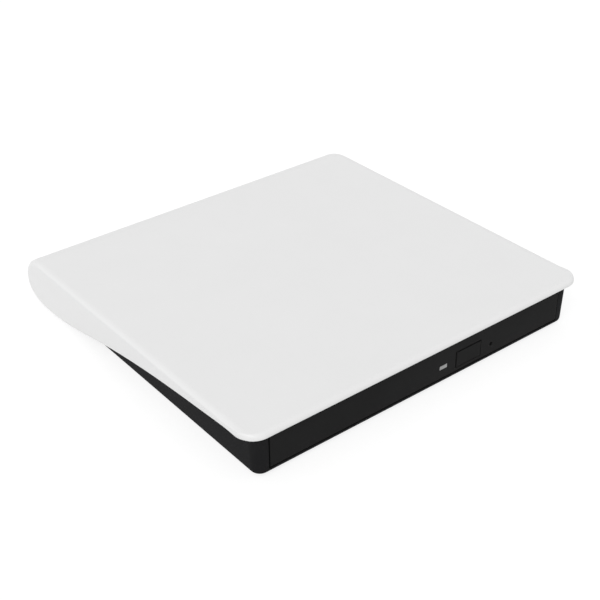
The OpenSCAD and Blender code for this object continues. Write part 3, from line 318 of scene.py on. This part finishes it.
def film(name):
    """Flat cable: a cream film with a conductor shining through every millimetre."""
    conductor_pitch = 1.0
    wave_period = math.pi / 10      # of the wave pattern, in its own units
    look = Look(name)
    lines = look.pattern("ShaderNodeTexWave", unit=conductor_pitch / wave_period)
    lines.bands_direction = "X"
    look.colour(lines.outputs["Fac"], low=(0.42, 0.36, 0.25), high=(0.74, 0.69, 0.58))
    look.roughness(look.noise(size=1.5), low=0.28, high=0.42)
    look.bump(lines.outputs["Fac"], depth=0.02)


ROLLED = (1.0, 12.0, 1.0)
TURNED = (1.0, 1.0, 8.0)

moulded("cover_white", (0.78, 0.78, 0.78), rough=0.42, grain=0.5, depth=0.003, mottle=0.006)
moulded("case_black", (0.0152, 0.0152, 0.016), rough=0.55, grain=0.35, depth=0.02, mottle=0.1, gloss=0.02)
moulded("bezel_black", (0.0134, 0.0134, 0.0135), rough=0.45, grain=0.3, depth=0.012, mottle=0.1, gloss=0.03)
moulded("rubber", (0.035, 0.035, 0.036), rough=0.8, grain=0.6, depth=0.03, mottle=0.15, gloss=0.25)
moulded("chip_black", (0.016, 0.016, 0.017), rough=0.55, grain=0.2, depth=0.01, mottle=0.12, gloss=0.35)
moulded("connector_black", (0.014, 0.014, 0.015), rough=0.42, grain=0.3, depth=0.008, mottle=0.1, gloss=0.4)
moulded("guide_white", (0.66, 0.66, 0.63), rough=0.4, grain=0.4, depth=0.006)
moulded("tray_grey", (0.022, 0.0225, 0.025), rough=0.52, grain=0.4, depth=0.02, mottle=0.1, gloss=0.35)
moulded("clamp_plastic", (0.03, 0.03, 0.032), rough=0.5, grain=0.3, depth=0.01)
moulded("nut_plastic", (0.7, 0.7, 0.66), rough=0.42, grain=0.4, depth=0.006)
moulded("lever_plastic", (0.6, 0.56, 0.48), rough=0.45, grain=0.4, depth=0.008)
metal("screw_steel", (0.3, 0.31, 0.33), rough=0.35, stretch=TURNED)
metal("shell_nickel", (0.6, 0.59, 0.57), rough=0.26, grain=0.7)
metal("sheet_steel", (0.5, 0.51, 0.53), rough=0.36, stretch=ROLLED)
metal("slide_steel", (0.46, 0.48, 0.5), rough=0.3, stretch=ROLLED)
metal("rod_steel", (0.66, 0.67, 0.69), rough=0.14, grain=1.5, depth=0.001)
metal("screw_brass", (0.7, 0.5, 0.24), rough=0.3, grain=0.5)
metal("bearing_bronze", (0.5, 0.34, 0.17), rough=0.42, grain=0.25, depth=0.01)
metal("sled_cast", (0.3, 0.31, 0.33), rough=0.48, grain=0.6, depth=0.02)
clear_moulding("window_clear", (0.285, 0.287, 0.286), milk=0.3)
clear_moulding("led_body", (0.8, 0.72, 0.5), milk=0.15)
clear_moulding("lens_glass", (0.36, 0.46, 0.62), milk=0.04)
circuit_board("board_green")
winding("copper")
film("flex")


# Cover: a thin rounded lip at the front, a wing curve below it and a rounded nose at the rear

LIP_H = 3.0             # from the top down to the wing's front end
LIP_TIP = 2.25          # from the top down to the foot of the lip's lower rounding
LIP_TOP_R = 1.6
LIP_LOW_R = 0.6
LIP_LOW_TURN = 245      # where the lip's lower arc ends, in degrees
LIP_RUN = 2.2           # from the lip's front back to the wing's front end
LIP_SOFT = 0.45         # share of the side edge's rounding that is left at the lip
LIP_FADE = 10.0         # run over which that share grows to the whole
WING_FRONT_Y = 20.0     # handles of the wing's curve
WING_FRONT_DROP = 4.4
WING_REAR_Y = 25.4
BELLY_RUN = 16.8        # from the rear forward to the lowest point
BELLY_PULL = 3.5        # handles of the curve from the lowest to the rearmost point
NOSE_PULL = 4.1
NOSE_LEVEL = 0.432      # height of the rearmost point, as a share of the cover's
NOSE_RUN = 13.0
CORNER_R = 6.5          # corners seen from above
NOSE_CORNER_R = 3.5
CORNER_FADE = 26.0      # run over which a corner fades out along the side
EDGE_W = 2.2            # rounding of the side edges
EDGE_H = 1.2
FLAT_FROM = 15.0        # from the front back to the extra points of the flat top
FLAT_TO = 5.0

LIP_TOP_STEPS = 14
LIP_LOW_STEPS = 7
WING_STEPS = 72
BELLY_STEPS = 24
NOSE_STEPS = 28
HOLLOW_STEPS = 18
FLAT_STEPS = 8
EDGE_STEPS = 15
CORNER_STEPS = 14
PAST_CORNER = 0.5

COVER_WALL = 2.0
SKIRT_T = 3.0
NOSE_WALL = 2.5
SHELF_T = 1.0           # the base's shelf between a screw's head and its boss
BEZEL_REACH = 3.5       # from the bezel's face back to the front of the hollow
PAN_GAP = 1.8           # from the drive back to the wall behind it
HOLLOW_FOOT_RUN = 5.0   # from the rear forward to the foot of the nose's hollow
HOLLOW_DROP = 3.2       # from the rearmost point down to the top of that foot's slope
RECESS_W = 13.2
RECESS_H = 7.2
RECESS_WALL = 1.9
BLOCK_SET = 1.4         # from the socket's face forward to the front of the block that holds the recess
BLOCK_SINK = 2.0        # from the rear forward to the back of the block
FACE_GAP = 0.1          # from the socket's face back to the recess
SOCKET_GAP = 0.3
SCREW_HEAD_T = 1.2
SCREW_HEAD_R = 1.9
SCREW_HOLE_R = 1.0
BOSS_R = 2.5
BOSS_GAP = 1.6          # from a boss's top up to the ceiling
BOSS_SIDES = 24
WELL_R = 2.6
WELL_SIDES = 30
HOOK_W = 2.4
HOOK_T = 1.4
HOOK_SET = 1.6          # from the bezel's face back to a hook
HOOK_REACH = 2.5        # from the base's top down to a hook's end
HOOK_SINK = 0.5         # by which a hook is let into the lip
PILLAR_GAP = 0.4        # from the drive's side out to the base's front pillar
CUT_PAST = 1.0          # how far a cut runs past the face that it opens

cover_low, cover_high = (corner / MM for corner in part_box("top_cover"))
screws_low, screws_high = (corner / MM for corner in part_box("case_screws"))
half_w = cover_high.x
front_y = cover_low.y
rear_y = cover_high.y
base_z = cover_low.z
top_z = cover_high.z
ceiling_z = top_z - COVER_WALL
lip_z = top_z - LIP_H
nose_z = base_z + NOSE_LEVEL * (top_z - base_z)
nose_y = rear_y - NOSE_RUN
low_y = rear_y - BELLY_RUN
shelf_z = screws_low.z + SCREW_HEAD_T


def nose_arc(run, rise, count):
    """A quarter of an ellipse from the rearmost point up to the top of the nose."""
    turns = [math.radians(a) for a in spread(0, 90, count)]
    return [(nose_y + run * math.cos(a), nose_z + rise * math.sin(a)) for a in turns]


def cover_outline():
    """The side outline, from the lip's top round by the wing, the belly and the nose to the flat top."""
    lip = arc((front_y + LIP_TOP_R, top_z - LIP_TOP_R), LIP_TOP_R, 90, 180, LIP_TOP_STEPS)
    low_centre = (front_y + LIP_LOW_R, top_z - LIP_TIP + LIP_LOW_R)
    lip += arc(low_centre, LIP_LOW_R, 180, LIP_LOW_TURN, LIP_LOW_STEPS)
    wing_start = (front_y + LIP_RUN, lip_z)
    wing_handle = (WING_FRONT_Y, lip_z - WING_FRONT_DROP)
    lowest = (low_y, base_z)
    wing = bezier(wing_start, wing_handle, (WING_REAR_Y, base_z), lowest, WING_STEPS)
    nose_handle = (rear_y, nose_z - NOSE_PULL)
    belly = bezier(lowest, (rear_y - BELLY_PULL, base_z), nose_handle, (rear_y, nose_z), BELLY_STEPS)
    nose = nose_arc(NOSE_RUN, top_z - nose_z, NOSE_STEPS)
    flat = [(y, top_z) for y in spread(front_y + FLAT_FROM, front_y + FLAT_TO, FLAT_STEPS)]
    return lip + wing + belly[1:] + nose[1:] + flat


def edge_in(d):
    """How far the rounded side edge draws the outline in, at a distance d from the side."""
    return EDGE_H * (1 - math.sqrt(1 - (1 - d / EDGE_W) ** 2)) if d < EDGE_W else 0.0


def corner_in(d, radius):
    """How far a corner's radius, seen from above, draws the outline in at a distance d from the side."""
    return radius - math.sqrt(radius ** 2 - (radius - d) ** 2) if d < radius else 0.0


def softness(point):
    """The side edge's rounding, as a share of its depth: full along the side and small at the thin lip."""
    t = min(1.0, (point[0] - front_y) / LIP_FADE)
    return LIP_SOFT + (1 - LIP_SOFT) * t * t * (3 - 2 * t)


def cover_ring(x, d, outline):
    """The outline at x, a distance d from the side, drawn in by the edge and the corners there."""
    ring = []
    for y, z in inset(outline, lambda point: edge_in(d) * softness(point)):
        draw = corner_in(d, CORNER_R) if y < 0 else -corner_in(d, NOSE_CORNER_R)
        fade = min(1.0, max(0.0, (abs(y) - rear_y + CORNER_FADE) / CORNER_FADE))
        ring.append((x, y + draw * fade, z))
    return ring


def cover_solid():
    outline = cover_outline()
    rounding = [EDGE_W * (1 - math.cos(math.radians(a))) for a in spread(0, 90, EDGE_STEPS)]
    steps = rounding + spread(EDGE_W, CORNER_R + PAST_CORNER, CORNER_STEPS)[1:]
    left = [cover_ring(-half_w + d, d, outline) for d in steps]
    right = [cover_ring(half_w - d, d, outline) for d in reversed(steps)]
    return loft("cover", left + right)


def hollow_out(cover):
    """Cuts the space for the drive and, above the screws' shelf, the hollow of the nose."""
    pan_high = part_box("drive_chassis")[1] / MM
    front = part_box("tray_bezel")[0].y / MM + BEZEL_REACH
    rear = pan_high.y + PAN_GAP
    below_z = base_z - CUT_PAST
    hollow = [(front, below_z), (rear, below_z), (rear, shelf_z), (rear_y - HOLLOW_FOOT_RUN, shelf_z)]
    hollow += [(rear_y - NOSE_WALL, nose_z - HOLLOW_DROP)]
    hollow += nose_arc(NOSE_RUN - NOSE_WALL, ceiling_z - nose_z, HOLLOW_STEPS)
    hollow += [(front, ceiling_z)]
    inner = half_w - SKIRT_T
    carve(cover, "DIFFERENCE", run_x("hollow", hollow, -inner, inner))


def cut_recess(cover):
    """Adds the block that holds the plug's recess, and cuts the recess and the socket's own opening."""
    low, high = (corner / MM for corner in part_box("usb_socket_shell"))
    middle_z = (low.z + high.z) / 2
    reach_x = RECESS_W / 2 + RECESS_WALL
    block = box_outline(-reach_x, reach_x, middle_z - RECESS_H / 2, middle_z + RECESS_H / 2)
    block_y = high.y - BLOCK_SET
    carve(cover, "UNION", run_y("block", block, block_y, rear_y - BLOCK_SINK))
    recess = [(x, z + middle_z) for x, z in stadium(RECESS_W, RECESS_H)]
    carve(cover, "DIFFERENCE", run_y("recess", recess, high.y + FACE_GAP, rear_y + CUT_PAST))
    mouth = stadium(high.x - low.x + SOCKET_GAP, high.z - low.z + SOCKET_GAP)
    mouth = [(x, z + middle_z) for x, z in mouth]
    carve(cover, "DIFFERENCE", run_y("mouth", mouth, block_y - CUT_PAST, high.y + CUT_PAST))


def add_bosses(cover):
    """Adds the screw bosses, and cuts the wells for the heads and the holes for the shafts."""
    screw_y = (screws_low.y + screws_high.y) / 2
    for screw_x in (screws_low.x + SCREW_HEAD_R, screws_high.x - SCREW_HEAD_R):
        boss = circle((screw_x, screw_y), BOSS_R, BOSS_SIDES)
        carve(cover, "UNION", run_z("boss", boss, shelf_z + SHELF_T, ceiling_z - BOSS_GAP))
        well = circle((screw_x, screw_y), WELL_R, WELL_SIDES)
        carve(cover, "DIFFERENCE", run_z("well", well, base_z - CUT_PAST, shelf_z))
        hole = circle((screw_x, screw_y), SCREW_HOLE_R, BOSS_SIDES)
        carve(cover, "DIFFERENCE", run_z("hole", hole, shelf_z, screws_high.z + SHELF_T))


def add_hooks(cover):
    """Adds the hooks that sit in pockets of the base's front pillars."""
    pan_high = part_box("drive_chassis")[1] / MM
    base_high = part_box("base_case")[1] / MM
    hook_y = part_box("tray_bezel")[0].y / MM + HOOK_SET
    hook_x = (pan_high.x + PILLAR_GAP + base_high.x) / 2
    for x in (-hook_x, hook_x):
        hook = box_outline(x - HOOK_W / 2, x + HOOK_W / 2, hook_y, hook_y + HOOK_T)
        carve(cover, "UNION", run_z("hook", hook, base_high.z - HOOK_REACH, lip_z + HOOK_SINK))


def make_cover():
    cover = cover_solid()
    hollow_out(cover)
    cut_recess(cover)
    add_bosses(cover)
    add_hooks(cover)
    smooth(cover.data)
    keep_flats(cover)
    cover.data.materials.clear()
    cover.data.materials.append(LOOKS["cover_white"])
    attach(cover, "case")
    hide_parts("top_cover")


# Flat cable: the lower run lies on the chassis floor, folds over and runs back below the tray.

CABLE_T = 0.15
CABLE_REACH = 23.0      # from the turntable's centre back to where the cable turns up to the board
CABLE_GAP = 0.1
CABLE_STEPS = 24
FOLD_STEPS = 16


def make_cable():
    low, high = (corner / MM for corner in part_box("flex_cable"))
    upper_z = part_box("tray_shield")[0].z / MM - CABLE_GAP
    board_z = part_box("connector_board")[0].z / MM
    spin_y = (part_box("turntable")[0].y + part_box("turntable")[1].y) / 2 / MM
    end_y = spin_y + CABLE_REACH
    fold_r = (upper_z - low.z) / 2
    fold_y = low.y + fold_r
    fold = (fold_y, low.z + fold_r)
    below = [(y, low.z) for y in spread(fold_y, high.y, CABLE_STEPS)[1:]]
    above = [(y, low.z + CABLE_T) for y in spread(high.y - CABLE_T, fold_y, CABLE_STEPS)[:-1]]
    lower = below + [(high.y, board_z), (high.y - CABLE_T, board_z)] + above
    lower += arc(fold, fold_r - CABLE_T, 270, 90, FOLD_STEPS) + arc(fold, fold_r, 90, 270, FOLD_STEPS)
    under = [(y, upper_z - CABLE_T) for y in spread(fold_y, end_y + CABLE_T, CABLE_STEPS)]
    over = [(y, upper_z) for y in spread(end_y, fold_y, CABLE_STEPS)]
    upper = under + [(end_y + CABLE_T, high.z), (end_y, high.z)] + over
    runs = (
        ("cable_lower", lower, high.y, 2 * fold_y - high.y),
        ("cable_upper", upper, 2 * fold_y - end_y, end_y),
    )
    for name, outline, start_y, stop_y in runs:
        run = run_x(name, outline, low.x, high.x)
        smooth(run.data)
        run.data.materials.append(LOOKS["flex"])
        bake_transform(run)
        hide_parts("flex_cable")


# Socket contacts: gold strips on both faces of the socket's tongue

CONTACTS = 12
CONTACT_PITCH = 0.5
CONTACT_W = 0.26
CONTACT_L = 2.4
CONTACT_T = 0.04        # by which a strip stands out, and by which it is let in
CONTACT_SET = 0.2       # from the tongue's end back to the strips
CONTACT_BREAK = 0.015
TONGUE_T = 0.7


def make_contacts():
    low, high = (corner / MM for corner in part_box("usb_socket_tongue"))
    middle_z = (low.z + high.z) / 2
    first_x = -CONTACT_PITCH * (CONTACTS - 1) / 2
    end_y = high.y - CONTACT_SET
    strips = bmesh.new()
    for face in (-1, 1):
        inner_z = middle_z + face * (TONGUE_T / 2 - CONTACT_T)
        outer_z = middle_z + face * (TONGUE_T / 2 + CONTACT_T)
        for i in range(CONTACTS):
            x = first_x + i * CONTACT_PITCH
            foot = box_outline(x - CONTACT_W / 2, x + CONTACT_W / 2, end_y - CONTACT_L, end_y)
            strip = run_z("strip", foot, min(inner_z, outer_z), max(inner_z, outer_z))
            strips.from_mesh(strip.data)
            bpy.data.objects.remove(strip)
    bmesh.ops.bevel(strips, geom=strips.edges[:], offset=CONTACT_BREAK * MM, segments=2, affect="EDGES")
    mesh = bpy.data.meshes.new("socket_contacts")
    strips.to_mesh(mesh)
    strips.free()
    mesh.materials.append(LOOKS["screw_brass"])
    contacts = new_object("socket_contacts", mesh)
    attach(contacts, "case")


# Carried-over solids: their own looks, with the small edge breaks that moulded and pressed pieces have

EDGE_BREAK = {
    "bezel_black": 0.04,
    "rubber": 0.08,
    "sheet_steel": 0.1,
    "slide_steel": 0.1,
    "shell_nickel": 0.1,
    "window_clear": 0.15,
    "board_green": 0.03,
}
FINE_BREAK = 0.06       # where the material has no break of its own
STEPPED_BREAK = {"disc_tray": 0.03, "turntable": 0.05}
UNBROKEN = ("base_case", "sled_motor", "sled_nut", "tray_board")
SHARP = 32.0            # degrees between two faces from which their edge is broken
FLAT = 0.5              # degrees within which two faces count as one
WELD = 0.001


def dress(name):
    """Gives a solid its material, and breaks its edges unless its steps are too thin for that."""
    piece = nodes[name]
    slot = slot_of[name]
    mesh = piece.data
    mesh.materials.clear()
    mesh.materials.append(LOOKS[slot])
    normals = mesh.attributes.get("custom_normal")
    if normals:
        mesh.attributes.remove(normals)
    mesh.shade_smooth()
    weld = piece.modifiers.new("weld", "WELD")
    weld.merge_threshold = WELD * MM
    flat = piece.modifiers.new("flat", "DECIMATE")
    flat.decimate_type = "DISSOLVE"
    flat.angle_limit = math.radians(FLAT)
    if name in UNBROKEN:
        split = piece.modifiers.new("split", "EDGE_SPLIT")
        split.split_angle = math.radians(SHARP)
    else:
        edges = piece.modifiers.new("edges", "BEVEL")
        edges.width = STEPPED_BREAK.get(name, EDGE_BREAK.get(slot, FINE_BREAK)) * MM
        edges.segments = 2
        edges.limit_method = "ANGLE"
        edges.angle_limit = math.radians(SHARP)
        edges.loop_slide = False
        edges.use_clamp_overlap = False
    keep_flats(piece)


# Stage: a pale floor, soft light and the photograph's own view.
# The camera's place, turn and lens are fitted to the object's corners and edges there.

CAMERA_PLACE = (-222.459, -288.036, 233.512)
CAMERA_TURN = (57.66678, 0.70103, -38.38049)
CAMERA_LENS = 70.498
CAMERA_SENSOR = 36.0
WORLD_LIGHT = 0.782
KEY_FROM = (-0.63, -0.36, 0.69)
KEY_DISTANCE = 5000.0
KEY_SIZE = 2400.0
KEY_POWER = 84.0        # watts
FLOOR_HALF = 3000.0
FLOOR_TONE = 0.8        # colour that lights the object from below
FLOOR_DIFFUSE = 0.25    # colour that takes the object's shadow where the floor is seen
FLOOR_GLOW = 0.8        # light added to that, so that the bare floor is white


def seen_rays(tree):
    """1 for the rays that show the backdrop: straight from the camera, by a reflection or through glass."""
    path = tree.nodes.new("ShaderNodeLightPath")
    total = path.outputs["Is Camera Ray"]
    for kind in ("Is Glossy Ray", "Is Transmission Ray"):
        either = tree.nodes.new("ShaderNodeMath")
        either.operation = "MAXIMUM"
        tree.links.new(total, either.inputs[0])
        tree.links.new(path.outputs[kind], either.inputs[1])
        total = either.outputs[0]
    return total


def show_backdrop(tree, output, lighting, backdrop):
    """Sends the backdrop's shader to the rays that show it, and the lighting's to all others."""
    choose = tree.nodes.new("ShaderNodeMixShader")
    tree.links.new(seen_rays(tree), choose.inputs["Fac"])
    tree.links.new(lighting.outputs[0], choose.inputs[1])
    tree.links.new(backdrop.outputs[0], choose.inputs[2])
    tree.links.new(choose.outputs[0], output.inputs["Surface"])


def make_floor():
    half = FLOOR_HALF * MM
    mesh = bpy.data.meshes.new("floor")
    mesh.from_pydata([(x, y, 0) for x, y in box_outline(-half, half, -half, half)], [], [(0, 1, 2, 3)])
    floor = new_object("floor", mesh)
    material = bpy.data.materials.new("floor")
    material.use_nodes = True
    tree = material.node_tree
    tree.nodes.clear()
    output = tree.nodes.new("ShaderNodeOutputMaterial")
    plain = tree.nodes.new("ShaderNodeBsdfDiffuse")
    plain.inputs["Color"].default_value = (FLOOR_TONE, FLOOR_TONE, FLOOR_TONE, 1)
    soft = tree.nodes.new("ShaderNodeBsdfDiffuse")
    soft.inputs["Color"].default_value = (FLOOR_DIFFUSE, FLOOR_DIFFUSE, FLOOR_DIFFUSE, 1)
    glow = tree.nodes.new("ShaderNodeEmission")
    glow.inputs["Strength"].default_value = FLOOR_GLOW
    pale = tree.nodes.new("ShaderNodeAddShader")
    tree.links.new(soft.outputs[0], pale.inputs[0])
    tree.links.new(glow.outputs[0], pale.inputs[1])
    show_backdrop(tree, output, plain, pale)
    mesh.materials.append(material)


def make_world():
    world = bpy.data.worlds.new("studio")
    bpy.context.scene.world = world
    world.use_nodes = True
    tree = world.node_tree
    tree.nodes.clear()
    output = tree.nodes.new("ShaderNodeOutputWorld")
    light = tree.nodes.new("ShaderNodeBackground")
    light.inputs["Strength"].default_value = WORLD_LIGHT
    backdrop = tree.nodes.new("ShaderNodeBackground")
    for ground in (light, backdrop):
        ground.inputs["Color"].default_value = (1, 1, 1, 1)
    show_backdrop(tree, output, light, backdrop)


def make_key():
    """A square softbox, above and to the left of the object and turned toward it."""
    data = bpy.data.lights.new("key", "AREA")
    data.size = KEY_SIZE * MM
    data.energy = KEY_POWER
    lamp = new_object("key", data)
    lamp.location = Vector(KEY_FROM).normalized() * KEY_DISTANCE * MM
    lamp.rotation_euler = (-Vector(KEY_FROM)).to_track_quat("-Z", "Y").to_euler()


def make_camera():
    data = bpy.data.cameras.new("camera")
    data.lens = CAMERA_LENS
    data.sensor_width = CAMERA_SENSOR
    camera = new_object("camera", data)
    camera.location = Vector(CAMERA_PLACE) * MM
    camera.rotation_euler = [math.radians(a) for a in CAMERA_TURN]
    bpy.context.scene.camera = camera


make_camera()
make_floor()
make_world()
make_key()
for name in nodes:
    dress(name)
make_cover()
make_cable()
make_contacts()
bpy.context.scene.view_settings.view_transform = "Standard"
